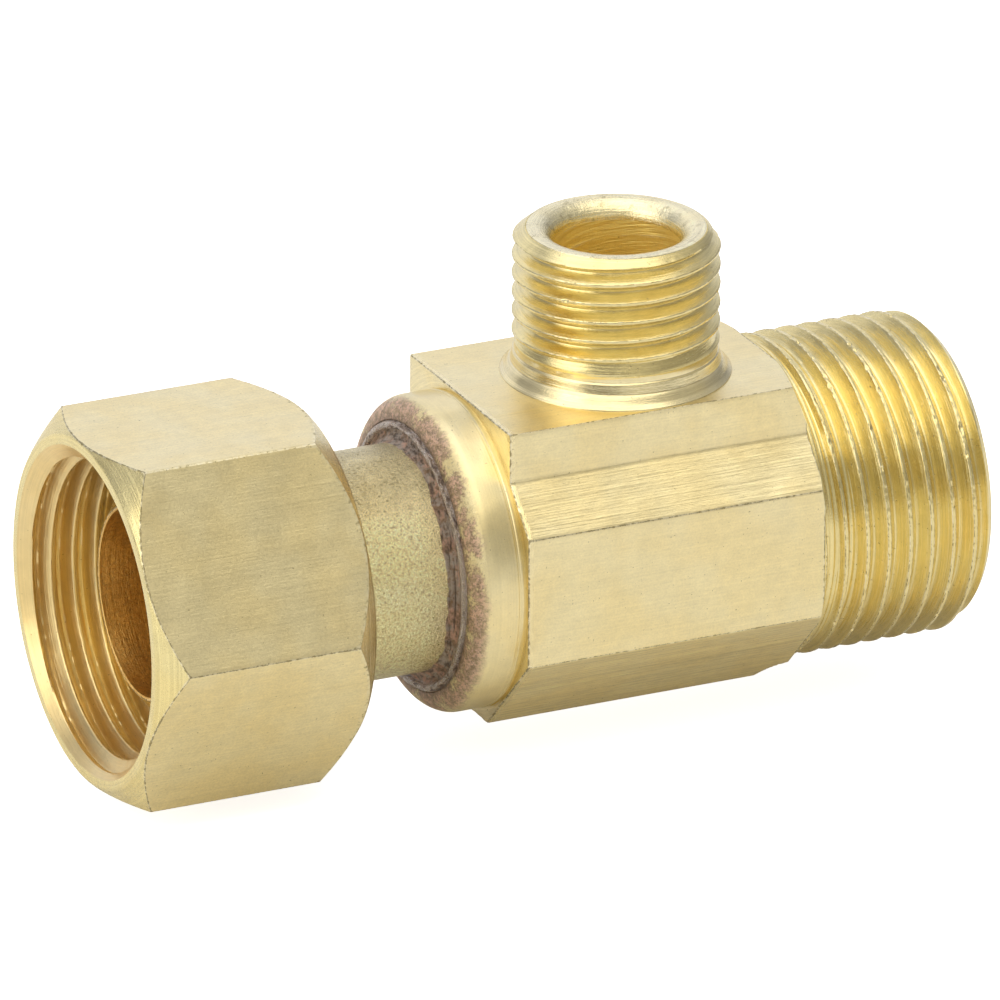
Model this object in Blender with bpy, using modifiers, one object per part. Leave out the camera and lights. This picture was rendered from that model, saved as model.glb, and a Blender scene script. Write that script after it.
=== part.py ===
"""Brass tee adapter: a run with a captive swivel nut at one end and a male thread at the other,
and a smaller male thread on a branch.

Frame: the origin is the middle of the body's bottom flat, straight below the branch. +X runs along the
run from the nut to the threaded outlet, and +Z runs up the branch. Stations along the run are X values
measured from the branch axis. Heights on the branch are measured from the run axis.
All sizes are in millimetres. MM turns them into Blender's metres.
"""

import math

import bmesh
import bpy
from mathutils import Matrix

MM = 0.001
MERGE_DISTANCE = 1e-4

# Body bar: an octagon with a raised flat-topped land for the branch
BAR_ACROSS_FLATS = 17.46
TOP_LAND_WIDTH = 12.7
BODY_START = -9.1
BODY_END = 8.2
RUN_AXIS_HEIGHT = BAR_ACROSS_FLATS / 2
END_FACE_RADIUS = 9.1
END_CORNER_RADIUS = 9.6
END_CORNER_CUT = 0.25
NOTCH_START = 6.6
NOTCH_DEPTH = 0.8
NOTCH_RADIUS = 2.2

# Collar and socket that take the tailpiece
COLLAR_RADIUS = 8.55
COLLAR_FACE = -12.0
COLLAR_EDGE_ROUND = 1.2
RECESS_RADIUS = 7.3
RECESS_FLOOR = -10.9
SOCKET_END = -5.0

# Gap that a joint or a braze film leaves between neighbours
FILM = 0.1

# Run outlet: 11/16-20 male thread over a hole for 1/2 inch tube
RUN_CREST_RADIUS = 8.75
RUN_PITCH = 25.4 / 20
RUN_END = 18.4
RUN_CHAMFER = 0.7
RUN_RUNOUT_END = 10.6
RUN_RUNOUT_RADIUS = 8.45
RUN_THREAD_TURN = 200.0
RUN_TUBE_RADIUS = 6.4
RUN_TUBE_STOP = 10.4
RUN_SEAT_RADIUS = 7.2

# Branch: 7/16-24 male thread over a hole for 1/4 inch tube
BRANCH_CREST_RADIUS = 5.55
BRANCH_PITCH = 25.4 / 24
BRANCH_TOP = 16.83
BRANCH_FACE_RADIUS = 5.1
BRANCH_CHAMFER_HEIGHT = 0.64
BRANCH_RUNOUT_TOP = 11.4
BRANCH_RUNOUT_BOTTOM = 10.3
BRANCH_WAIST_RADIUS = 5.35
BRANCH_FLARE = 0.85
BRANCH_THREAD_TURN = 120.0
BRANCH_TUBE_RADIUS = 3.4
BRANCH_TUBE_STOP = 9.6
BRANCH_LIP = 1.0
BRANCH_PASSAGE_RADIUS = 2.4

# Tailpiece: one turned tube with a cone nose and a retaining flange
NECK_RADIUS = 6.15
BORE_RADIUS = 5.0
NOSE_FACE = -27.7
NOSE_LIP_RADIUS = 5.2
FLANGE_RADIUS = 7.9
FLANGE_FRONT = -25.5
FLANGE_BACK = -24.7
FLANGE_SHOULDER = -24.0

# Braze filler: a raised bead by the recess wall, a valley, and a fillet that ends on the neck
BEAD_RADIUS = 0.22
BEAD_CENTER = -12.05
VALLEY_RADIUS = 6.6
VALLEY_BOTTOM = -12.02
FILLET_EDGE = 0.08
FILLET_END = -12.35

# Swivel nut: 3/4 inch hexagon, 11/16-20 female thread
NUT_ACROSS_FLATS = 19.05
NUT_FRONT = -30.75
NUT_BACK = -18.1
NUT_FRONT_FACE_RADIUS = 9.45
NUT_FRONT_CHAMFER = 1.32
NUT_BACK_FACE_RADIUS = 9.35
NUT_BACK_CHAMFER = 1.7
NUT_BACK_WALL = 2.1
NUT_BACK_HOLE_RADIUS = 6.5
NUT_BACK_HOLE_CHAMFER = 0.3
NUT_MINOR_RADIUS = 8.06
NUT_MAJOR_RADIUS = 8.76
NUT_MOUTH_RADIUS = 8.93
NUT_RELIEF_RADIUS = 8.2
NUT_RELIEF_START = -22.6
NUT_THREAD_TURN = 150.0
NUT_REST_TURN = -1.5

# Thread form: 60 degree flanks, crest flat an eighth of the pitch
FLANK_ANGLE = math.radians(30)
CREST_FLAT = 1 / 8
THREAD_DEPTH = 0.6134

RUN_SEGMENTS = 36
BRANCH_SEGMENTS = 24
ROUND_STEPS = 5

# How far a cutter reaches past what it cuts, and how far a hidden face stands off its neighbour
OVERSHOOT = 1.0
STANDOFF = 0.1

BRASS = (0.82, 0.68, 0.38, 1.0)
BRAZE = (0.30, 0.20, 0.16, 1.0)

ALONG_X = Matrix.Translation((0, 0, RUN_AXIS_HEIGHT * MM)) @ Matrix.Rotation(math.pi / 2, 4, "Y")
ALONG_Z = Matrix.Translation((0, 0, RUN_AXIS_HEIGHT * MM))


def clear_scene():
    for obj in list(bpy.data.objects):
        bpy.data.objects.remove(obj, do_unlink=True)


def new_collection(name):
    collection = bpy.data.collections.new(name)
    bpy.context.scene.collection.children.link(collection)
    return collection


def new_material(name, color, roughness):
    material = bpy.data.materials.new(name)
    material.use_nodes = True
    shader = material.node_tree.nodes["Principled BSDF"]
    shader.inputs["Base Color"].default_value = color
    shader.inputs["Roughness"].default_value = roughness
    shader.inputs["Metallic"].default_value = 1.0
    return material


def new_object(name, mesh, placement, collection):
    """An object whose mesh is in millimetres about its own Z axis. Its matrix scales it to metres."""
    obj = bpy.data.objects.new(name, mesh)
    obj.matrix_world = placement @ Matrix.Scale(MM, 4)
    collection.objects.link(obj)
    if collection is cutters:
        obj.hide_render = True
        obj.display_type = "WIRE"
    return obj


def arc(center, radius, first_degrees, last_degrees):
    """Points (radius, station) on an arc, both ends included."""
    points = []
    for step in range(ROUND_STEPS + 1):
        angle = math.radians(first_degrees + (last_degrees - first_degrees) * step / ROUND_STEPS)
        points.append((center[0] + radius * math.cos(angle), center[1] + radius * math.sin(angle)))
    return points


def turned(name, profile, placement, collection, segments, ring=False, between=False):
    """A turned solid. The profile is (radius, station) points down the outer side, top station first.
    A ring's profile is a closed loop, which goes back up on the inner side. A solid that
    meets a thread is turned a quarter of a segment, so that its corners lie between the thread's."""
    mesh = bpy.data.meshes.new(name)
    points = [(radius, 0, station) for radius, station in profile]
    edges = [(i, i + 1) for i in range(len(points) - 1)]
    if ring:
        edges.append((len(points) - 1, 0))
    mesh.from_pydata(points, edges, [])
    if between:
        placement = placement @ Matrix.Rotation(math.pi / (2 * segments), 4, "Z")
    obj = new_object(name, mesh, placement, collection)
    screw = obj.modifiers.new("turn", "SCREW")
    screw.axis = "Z"
    screw.steps = segments
    screw.render_steps = segments
    screw.use_merge_vertices = True
    screw.merge_threshold = MERGE_DISTANCE
    screw.use_smooth_shade = False
    return obj


def prism(name, outline, start, end, collection):
    """A straight bar along the run with the outline (across, up) about the run axis."""
    curve = bpy.data.curves.new(name, "CURVE")
    curve.dimensions = "2D"
    curve.fill_mode = "BOTH"
    curve.extrude = (end - start) / 2
    spline = curve.splines.new("POLY")
    spline.points.add(len(outline) - 1)
    for point, (across, up) in zip(spline.points, outline):
        point.co = (-up, across, 0, 1)
    spline.use_cyclic_u = True
    guide = bpy.data.objects.new(name + "_outline", curve)
    collection.objects.link(guide)
    evaluated = guide.evaluated_get(bpy.context.evaluated_depsgraph_get())
    mesh = bpy.data.meshes.new_from_object(evaluated)
    bpy.data.objects.remove(guide)
    bm = bmesh.new()
    bm.from_mesh(mesh)
    bmesh.ops.remove_doubles(bm, verts=bm.verts, dist=MERGE_DISTANCE)
    bmesh.ops.translate(bm, verts=bm.verts, vec=(0, 0, (start + end) / 2))
    bmesh.ops.recalc_face_normals(bm, faces=bm.faces)
    bm.to_mesh(mesh)
    bm.free()
    return new_object(name, mesh, ALONG_X, collection)


def threaded_rod(name, crest_radius, pitch, start, end, turn, placement, segments):
    """A solid right-hand threaded rod. One pitch of its outline is spun up a helix, and each end is a
    plain cap that its neighbour or a trimming solid hides."""
    depth = THREAD_DEPTH * pitch
    crest_flat = CREST_FLAT * pitch
    flank = depth * math.tan(FLANK_ANGLE)
    root_flat = pitch - crest_flat - 2 * flank
    root_radius = crest_radius - depth
    outline = [
        (root_radius, 0),
        (root_radius, root_flat),
        (crest_radius, root_flat + flank),
        (crest_radius, root_flat + flank + crest_flat),
        (root_radius, pitch),
    ]
    steps = math.ceil((end - start) / pitch * segments)
    bm = bmesh.new()
    points = [bm.verts.new((radius, 0, start + rise)) for radius, rise in outline]
    chain = [bm.edges.new(pair) for pair in zip(points, points[1:])]
    bmesh.ops.rotate(bm, verts=points, cent=(0, 0, 0), matrix=Matrix.Rotation(math.radians(turn), 3, "Z"))
    bmesh.ops.spin(
        bm,
        geom=points + chain,
        cent=(0, 0, 0),
        axis=(0, 0, 1),
        dvec=(0, 0, pitch / segments),
        angle=2 * math.pi * steps / segments,
        steps=steps,
    )
    bmesh.ops.remove_doubles(bm, verts=bm.verts, dist=MERGE_DISTANCE)
    rims = [edge for edge in bm.edges if edge.is_boundary]
    caps = bmesh.ops.holes_fill(bm, edges=rims, sides=0)["faces"]
    bmesh.ops.poke(bm, faces=caps)
    bmesh.ops.recalc_face_normals(bm, faces=bm.faces)
    mesh = bpy.data.meshes.new(name)
    bm.to_mesh(mesh)
    bm.free()
    return new_object(name, mesh, placement, cutters)


def combine(obj, other, operation):
    boolean = obj.modifiers.new(operation.lower() + "_" + other.name, "BOOLEAN")
    boolean.operation = operation
    boolean.solver = "EXACT"
    boolean.object = other
    return obj


def turned_run():
    """What is turned on the run under the threads: the collar with its rounded edge, and the cone that
    climbs out of the thread's root towards the bar, so that the thread fades out there."""
    root = RUN_CREST_RADIUS - THREAD_DEPTH * RUN_PITCH
    climb = (RUN_RUNOUT_RADIUS - root) / (RUN_RUNOUT_END - BODY_END)
    edge_center = (COLLAR_RADIUS - COLLAR_EDGE_ROUND, COLLAR_FACE + COLLAR_EDGE_ROUND)
    return turned(
        "turned_run",
        [
            (0, RUN_RUNOUT_END + OVERSHOOT),
            (root - climb * OVERSHOOT, RUN_RUNOUT_END + OVERSHOOT),
            (RUN_RUNOUT_RADIUS, BODY_END),
            (COLLAR_RADIUS, BODY_START + OVERSHOOT),
        ]
        + arc(edge_center, COLLAR_EDGE_ROUND, 0, -90)
        + [(0, COLLAR_FACE)],
        ALONG_X,
        cutters,
        RUN_SEGMENTS,
        between=True,
    )


def run_thread():
    """The outlet's threaded end, with a chamfered face, faded out where it meets the bar."""
    rod = threaded_rod(
        "run_thread",
        RUN_CREST_RADIUS,
        RUN_PITCH,
        BODY_END - 2 * OVERSHOOT,
        RUN_END + OVERSHOOT,
        RUN_THREAD_TURN,
        ALONG_X,
        RUN_SEGMENTS,
    )
    hidden_end = BODY_END - 3 * STANDOFF
    limits = turned(
        "run_limits",
        [
            (0, RUN_END),
            (RUN_CREST_RADIUS - RUN_CHAMFER, RUN_END),
            (RUN_CREST_RADIUS + OVERSHOOT, RUN_END - RUN_CHAMFER - OVERSHOOT),
            (RUN_CREST_RADIUS + OVERSHOOT, BODY_END + 2 * OVERSHOOT),
            (RUN_RUNOUT_RADIUS + STANDOFF, hidden_end),
            (0, hidden_end),
        ],
        ALONG_X,
        cutters,
        RUN_SEGMENTS,
        between=True,
    )
    return combine(rod, limits, "INTERSECT")


def branch_foot():
    """The plain waist of the branch, flared onto the top flat and climbing out of the thread's root."""
    root = BRANCH_CREST_RADIUS - THREAD_DEPTH * BRANCH_PITCH
    climb = (BRANCH_WAIST_RADIUS - root) / (BRANCH_RUNOUT_TOP - BRANCH_RUNOUT_BOTTOM)
    flat = RUN_AXIS_HEIGHT
    flare_center = (BRANCH_WAIST_RADIUS + BRANCH_FLARE, flat + BRANCH_FLARE)
    return turned(
        "branch_foot",
        [
            (0, BRANCH_RUNOUT_TOP + OVERSHOOT),
            (root - climb * OVERSHOOT, BRANCH_RUNOUT_TOP + OVERSHOOT),
            (BRANCH_WAIST_RADIUS, BRANCH_RUNOUT_BOTTOM),
        ]
        + arc(flare_center, BRANCH_FLARE, 180, 255)
        + [(BRANCH_WAIST_RADIUS + BRANCH_FLARE, flat - STANDOFF)]
        + [(BRANCH_WAIST_RADIUS, flat - OVERSHOOT), (0, flat - OVERSHOOT)],
        ALONG_Z,
        cutters,
        BRANCH_SEGMENTS,
        between=True,
    )


def branch_thread():
    """The branch's threaded end, with its chamfered top."""
    rod = threaded_rod(
        "branch_thread",
        BRANCH_CREST_RADIUS,
        BRANCH_PITCH,
        BRANCH_RUNOUT_BOTTOM - OVERSHOOT,
        BRANCH_TOP + OVERSHOOT,
        BRANCH_THREAD_TURN,
        ALONG_Z,
        BRANCH_SEGMENTS,
    )
    slope = (BRANCH_CREST_RADIUS - BRANCH_FACE_RADIUS) / BRANCH_CHAMFER_HEIGHT
    limits = turned(
        "branch_limits",
        [
            (0, BRANCH_TOP),
            (BRANCH_FACE_RADIUS, BRANCH_TOP),
            (BRANCH_CREST_RADIUS + slope * OVERSHOOT, BRANCH_TOP - BRANCH_CHAMFER_HEIGHT - OVERSHOOT),
            (BRANCH_CREST_RADIUS + slope * OVERSHOOT, BRANCH_RUNOUT_TOP),
            (BRANCH_WAIST_RADIUS - STANDOFF, BRANCH_RUNOUT_BOTTOM),
            (0, BRANCH_RUNOUT_BOTTOM),
        ],
        ALONG_Z,
        cutters,
        BRANCH_SEGMENTS,
        between=True,
    )
    return combine(rod, limits, "INTERSECT")


def run_passage():
    """Everything bored along the run: tube hole with its seat, through bore, socket and recess."""
    seat_depth = RUN_SEAT_RADIUS - RUN_TUBE_RADIUS
    return turned(
        "run_passage",
        [
            (0, RUN_END + OVERSHOOT),
            (RUN_SEAT_RADIUS + OVERSHOOT, RUN_END + OVERSHOOT),
            (RUN_TUBE_RADIUS, RUN_END - seat_depth),
            (RUN_TUBE_RADIUS, RUN_TUBE_STOP),
            (BORE_RADIUS, RUN_TUBE_STOP),
            (BORE_RADIUS, SOCKET_END),
            (NECK_RADIUS + FILM, SOCKET_END),
            (NECK_RADIUS + FILM, RECESS_FLOOR),
            (RECESS_RADIUS, RECESS_FLOOR),
            (RECESS_RADIUS, COLLAR_FACE - OVERSHOOT),
            (0, COLLAR_FACE - OVERSHOOT),
        ],
        ALONG_X,
        cutters,
        RUN_SEGMENTS,
    )


def branch_passage():
    """The branch's tube hole with its rounded lip, and the drilling down into the run."""
    lip_radius = BRANCH_TUBE_RADIUS + BRANCH_LIP
    lip = arc((lip_radius, BRANCH_TOP - BRANCH_LIP), BRANCH_LIP, 90, 180)
    return turned(
        "branch_passage",
        [(0, BRANCH_TOP + OVERSHOOT), (lip_radius, BRANCH_TOP + OVERSHOOT)]
        + lip
        + [
            (BRANCH_TUBE_RADIUS, BRANCH_TUBE_STOP),
            (BRANCH_PASSAGE_RADIUS, BRANCH_TUBE_STOP),
            (BRANCH_PASSAGE_RADIUS, 0),
            (0, 0),
        ],
        ALONG_Z,
        cutters,
        BRANCH_SEGMENTS,
    )


def end_corners():
    """Trims the bar's corners where the outlet end was turned."""
    slope = (END_CORNER_RADIUS - END_FACE_RADIUS) / END_CORNER_CUT
    return turned(
        "end_corners",
        [
            (0, BODY_END + OVERSHOOT),
            (END_FACE_RADIUS - slope * OVERSHOOT, BODY_END + OVERSHOOT),
            (END_CORNER_RADIUS, BODY_END - END_CORNER_CUT),
            (BAR_ACROSS_FLATS, BODY_END - END_CORNER_CUT),
            (BAR_ACROSS_FLATS, BODY_START - OVERSHOOT),
            (0, BODY_START - OVERSHOOT),
        ],
        ALONG_X,
        cutters,
        RUN_SEGMENTS,
        between=True,
    )


def bottom_notch():
    """The round-bottomed relief milled across the bottom flat next to the outlet thread."""
    bottom = -BAR_ACROSS_FLATS / 2
    center_up = bottom + NOTCH_DEPTH - NOTCH_RADIUS
    reach = math.sqrt(NOTCH_RADIUS**2 - (NOTCH_RADIUS - NOTCH_DEPTH) ** 2)
    placement = Matrix.Translation(
        ((NOTCH_START + reach) * MM, 0, (RUN_AXIS_HEIGHT + center_up) * MM)
    ) @ Matrix.Rotation(math.pi / 2, 4, "X")
    half = BAR_ACROSS_FLATS
    return turned(
        "bottom_notch",
        [(0, half), (NOTCH_RADIUS, half), (NOTCH_RADIUS, -half), (0, -half)],
        placement,
        cutters,
        RUN_SEGMENTS,
    )


def tee_body(material):
    half = BAR_ACROSS_FLATS / 2
    corner = half * math.tan(math.pi / 8)
    land = TOP_LAND_WIDTH / 2
    land_foot = half + corner - land
    right = [(corner, -half), (half, -corner), (half, corner), (land, land_foot), (land, half)]
    left = [(-across, up) for across, up in reversed(right)]
    body = prism("tee_body", right + left, BODY_START, BODY_END, parts)
    body.data.materials.append(material)
    combine(body, end_corners(), "INTERSECT")
    combine(body, bottom_notch(), "DIFFERENCE")
    combine(body, turned_run(), "UNION")
    combine(body, run_thread(), "UNION")
    combine(body, branch_foot(), "UNION")
    combine(body, branch_thread(), "UNION")
    combine(body, run_passage(), "DIFFERENCE")
    combine(body, branch_passage(), "DIFFERENCE")
    return body


def tailpiece(material):
    """Nose and flange inside the nut, neck through its back, and the end in the body's socket."""
    outer = [
        (NECK_RADIUS, SOCKET_END - FILM),
        (NECK_RADIUS, FLANGE_SHOULDER),
        (FLANGE_RADIUS, FLANGE_BACK),
        (FLANGE_RADIUS, FLANGE_FRONT),
        (NOSE_LIP_RADIUS, NOSE_FACE),
    ]
    inner = [(BORE_RADIUS, NOSE_FACE), (BORE_RADIUS, SOCKET_END - FILM)]
    tube = turned("tailpiece", outer + inner, ALONG_X, parts, RUN_SEGMENTS, ring=True)
    tube.data.materials.append(material)
    return tube


def braze_ring(material):
    """The filler in the recess: a small raised bead and a fillet that sweeps onto the neck."""
    inner = NECK_RADIUS + FILM
    outer = RECESS_RADIUS - FILM
    profile = (
        [(outer, RECESS_FLOOR - FILM)]
        + arc((outer - BEAD_RADIUS, BEAD_CENTER), BEAD_RADIUS, 0, -150)
        + [(VALLEY_RADIUS, VALLEY_BOTTOM), (inner + FILLET_EDGE, FILLET_END)]
        + [(inner, FILLET_END), (inner, RECESS_FLOOR - FILM)]
    )
    ring = turned("braze_ring", profile, ALONG_X, parts, RUN_SEGMENTS, ring=True)
    ring.data.materials.append(material)
    return ring


def nut_thread():
    return threaded_rod(
        "nut_thread",
        NUT_MAJOR_RADIUS,
        RUN_PITCH,
        NUT_FRONT - 2 * RUN_PITCH,
        NUT_RELIEF_START,
        NUT_THREAD_TURN,
        ALONG_X,
        RUN_SEGMENTS,
    )


def nut_mouth():
    """The countersink at the nut's open end."""
    return turned(
        "nut_mouth",
        [
            (0, NUT_FRONT + NUT_MOUTH_RADIUS - NUT_MINOR_RADIUS + OVERSHOOT),
            (NUT_MINOR_RADIUS - OVERSHOOT, NUT_FRONT + NUT_MOUTH_RADIUS - NUT_MINOR_RADIUS + OVERSHOOT),
            (NUT_MOUTH_RADIUS + OVERSHOOT, NUT_FRONT - OVERSHOOT),
            (0, NUT_FRONT - OVERSHOOT),
        ],
        ALONG_X,
        cutters,
        RUN_SEGMENTS,
        between=True,
    )


def nut_hollow():
    """The relief behind the thread, and the plain hole through the back wall."""
    wall = NUT_BACK - NUT_BACK_WALL
    return turned(
        "nut_hollow",
        [
            (0, NUT_BACK + OVERSHOOT),
            (NUT_BACK_HOLE_RADIUS, NUT_BACK + OVERSHOOT),
            (NUT_BACK_HOLE_RADIUS, wall + NUT_BACK_HOLE_CHAMFER),
            (NUT_BACK_HOLE_RADIUS + NUT_BACK_HOLE_CHAMFER, wall),
            (NUT_RELIEF_RADIUS, wall),
            (NUT_RELIEF_RADIUS, NUT_RELIEF_START),
            (NUT_MINOR_RADIUS - OVERSHOOT, NUT_RELIEF_START - OVERSHOOT),
            (0, NUT_RELIEF_START - OVERSHOOT),
        ],
        ALONG_X,
        cutters,
        RUN_SEGMENTS,
        between=True,
    )


def swivel_nut(material):
    bm = bmesh.new()
    bmesh.ops.create_cone(
        bm,
        cap_ends=True,
        segments=6,
        radius1=NUT_ACROSS_FLATS / math.sqrt(3),
        radius2=NUT_ACROSS_FLATS / math.sqrt(3),
        depth=NUT_BACK - NUT_FRONT,
        matrix=Matrix.Translation((0, 0, (NUT_FRONT + NUT_BACK) / 2))
        @ Matrix.Rotation(math.radians(NUT_REST_TURN), 4, "Z"),
    )
    mesh = bpy.data.meshes.new("swivel_nut")
    bm.to_mesh(mesh)
    bm.free()
    nut = new_object("swivel_nut", mesh, ALONG_X, parts)
    nut.data.materials.append(material)
    corner = NUT_ACROSS_FLATS / math.sqrt(3)
    back_slope = (corner - NUT_BACK_FACE_RADIUS) / NUT_BACK_CHAMFER
    front_slope = (corner - NUT_FRONT_FACE_RADIUS) / NUT_FRONT_CHAMFER
    chamfers = turned(
        "nut_chamfers",
        [
            (0, NUT_BACK + OVERSHOOT),
            (NUT_BACK_FACE_RADIUS - back_slope * OVERSHOOT, NUT_BACK + OVERSHOOT),
            (corner + back_slope * OVERSHOOT, NUT_BACK - NUT_BACK_CHAMFER - OVERSHOOT),
            (corner + front_slope * OVERSHOOT, NUT_FRONT + NUT_FRONT_CHAMFER + OVERSHOOT),
            (NUT_FRONT_FACE_RADIUS - front_slope * OVERSHOOT, NUT_FRONT - OVERSHOOT),
            (0, NUT_FRONT - OVERSHOOT),
        ],
        ALONG_X,
        cutters,
        RUN_SEGMENTS,
    )
    combine(nut, chamfers, "INTERSECT")
    combine(nut, nut_thread(), "DIFFERENCE")
    combine(nut, nut_mouth(), "DIFFERENCE")
    combine(nut, nut_hollow(), "DIFFERENCE")
    return nut


clear_scene()
parts = new_collection("tee_adapter")
cutters = new_collection("cutters")
brass = new_material("brass", BRASS, 0.32)
braze = new_material("braze_filler", BRAZE, 0.5)

tee_body(brass)
tailpiece(brass)
braze_ring(braze)
swivel_nut(brass)
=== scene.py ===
"""Looks of the brass tee adapter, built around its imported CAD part.

Every surface of revolution, flat bar, hexagon and thread is a grid of points around an axis. A sheet is a
list of rows, a row gives a station along the axis and a radius for every column around it, and the sheets
of a solid close on themselves. Sizes are in millimetres with the run axis at height 0, until to_frame()
lifts them and turns them into metres.
"""

import math

import bmesh
import bpy
import numpy as np
from mathutils import Matrix, Vector


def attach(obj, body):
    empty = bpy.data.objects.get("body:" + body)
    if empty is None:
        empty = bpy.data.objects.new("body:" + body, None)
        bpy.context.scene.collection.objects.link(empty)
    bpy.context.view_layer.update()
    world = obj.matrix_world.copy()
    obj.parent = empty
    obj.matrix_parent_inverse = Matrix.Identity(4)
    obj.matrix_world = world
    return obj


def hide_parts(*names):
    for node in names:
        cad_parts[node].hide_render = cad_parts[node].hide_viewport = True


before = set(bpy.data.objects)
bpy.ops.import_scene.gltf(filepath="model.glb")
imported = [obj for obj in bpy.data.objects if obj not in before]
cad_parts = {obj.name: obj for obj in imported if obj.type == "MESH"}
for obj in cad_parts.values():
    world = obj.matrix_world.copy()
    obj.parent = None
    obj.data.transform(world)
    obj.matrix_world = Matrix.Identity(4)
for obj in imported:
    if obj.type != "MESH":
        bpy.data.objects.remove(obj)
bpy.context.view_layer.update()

MM = 0.001
TURN = 2 * math.pi
AXIS_HEIGHT = 8.73
SHARP_EDGE = math.radians(32)
SHARP = 0.01
MERGE_DISTANCE = 0.0002

# Columns of points around the run, the branch and the passage drilled down the branch
RUN_COLUMNS = 512
BRANCH_COLUMNS = 384
PASSAGE_COLUMNS = 256

# Thread form
THREAD_DEPTH = 0.6134
CREST_FLAT = 0.125

# The bar: an octagon with a flat-topped land, a notch under its outlet end
BAR_HALF = 8.73
LAND_HALF = 6.35
BODY_START = -9.1
BODY_END = 8.2
END_FACE_RADIUS = 9.1
END_CORNER_SLOPE = 2.0
NOTCH_START = 6.6
NOTCH_DEPTH = 0.8
NOTCH_RADIUS = 2.2

# Collar, the recess that holds the braze and the socket that holds the tailpiece
COLLAR_RADIUS = 8.55
COLLAR_FACE = -12.0
COLLAR_ROUND = 1.2
RECESS_RADIUS = 7.3
RECESS_FLOOR = -10.9
SOCKET_END = -5.0
SOCKET_RADIUS = 6.25

# Outlet thread and the bore of the run
RUN_END = 18.4
RUN_CREST = 8.75
RUN_PITCH = 1.27
RUN_CHAMFER = 0.7
RUN_RUNOUT_RADIUS = 8.62
RUN_RUNOUT_END = 11.2
RUN_RING_PITCH = 0.32
RUN_RING_HEIGHT = 0.025
RUN_CREST_AT = 0.0
RUN_SEAT = 7.2
RUN_TUBE = 6.4
RUN_TUBE_STOP = 10.4
BORE = 5.0

# Branch: thread, foot, lip and the passage down to the run
BRANCH_CREST = 5.55
BRANCH_PITCH = 25.4 / 24
BRANCH_TOP = 16.83
BRANCH_FACE = 4.84
BRANCH_CHAMFER = 0.56
BRANCH_RUNOUT_TOP = 11.6
BRANCH_RUNOUT_BOTTOM = 10.5
BRANCH_WAIST = 5.4
BRANCH_FOOT = 6.2
BRANCH_CREST_AT = 0.0
BRANCH_TUBE = 3.4
BRANCH_TUBE_STOP = 9.6
LIP_WIDTH = 1.05
LIP_DEPTH = 1.0
LIP_STEP = 0.05
LIP_STEPS = 12
BRANCH_PASSAGE = 2.4

# Tailpiece
NECK = 6.15
NOSE_FACE = -27.7
NOSE_LIP = 5.2
FLANGE = 7.9
FLANGE_FRONT = -25.5
FLANGE_BACK = -24.7
FLANGE_SHOULDER = -24.0

# Swivel nut
NUT_HALF = 9.525
NUT_CORNER = NUT_HALF / math.cos(math.pi / 6)
NUT_TURN = -1.5
NUT_FRONT = -30.75
NUT_BACK = -18.1
NUT_FRONT_RADIUS = 9.45
NUT_BACK_RADIUS = 9.35
NUT_FRONT_CHAMFER = 1.32
NUT_BACK_CHAMFER = 1.7
NUT_BACK_WALL = 2.1
NUT_HOLE = 6.5
NUT_MINOR = 8.0
NUT_RELIEF = 8.25
NUT_RELIEF_START = -22.6
NUT_MOUTH = 8.93
NUT_CREST_AT = 0.1
NUT_EDGE = 0.06

TEE_SLOTS = [
    "bar_flat",
    "turned",
    "thread",
    "bore",
    "collar",
    "branch_turned",
    "branch_thread",
    "branch_lip",
    "branch_bore",
]
TAIL_SLOTS = ["bore", "turned", "neck"]
NUT_SLOTS = ["nut_flat", "nut_cut", "turned", "nut_thread"]


# ---------------------------------------------------------------- materials

BRASS = (0.90, 0.78, 0.46)
PALE = (0.93, 0.84, 0.60)
GOLDEN = (0.875, 0.745, 0.375)
CUT = (0.89, 0.76, 0.38)
PEACH = (0.875, 0.69, 0.345)
DEEP = (0.87, 0.60, 0.22)
STAIN = (0.17, 0.13, 0.05)
SMUDGE_AND_SHADE = (0.40, 0.33, 0.17)
COPPER = (0.80, 0.54, 0.42)
FILM = (0.42, 0.29, 0.20)
SOOT = (0.19, 0.15, 0.125)
SOLDER = (0.62, 0.54, 0.48)
WARMER = (1.0, 0.97, 0.9)

# How fast tool marks change along their own direction, against across it
LONG_DRIFT = 0.015
SHORT_DRIFT = 0.12

# Depths of the bumps in millimetres, and how the roughness varies
WAVE_DEPTH = 0.12
MARK_DEPTH = 0.045
GRIT_DEPTH = 0.014
ROUGHNESS_SWING = 0.14
STAIN_ROUGHNESS = 0.25


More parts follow.
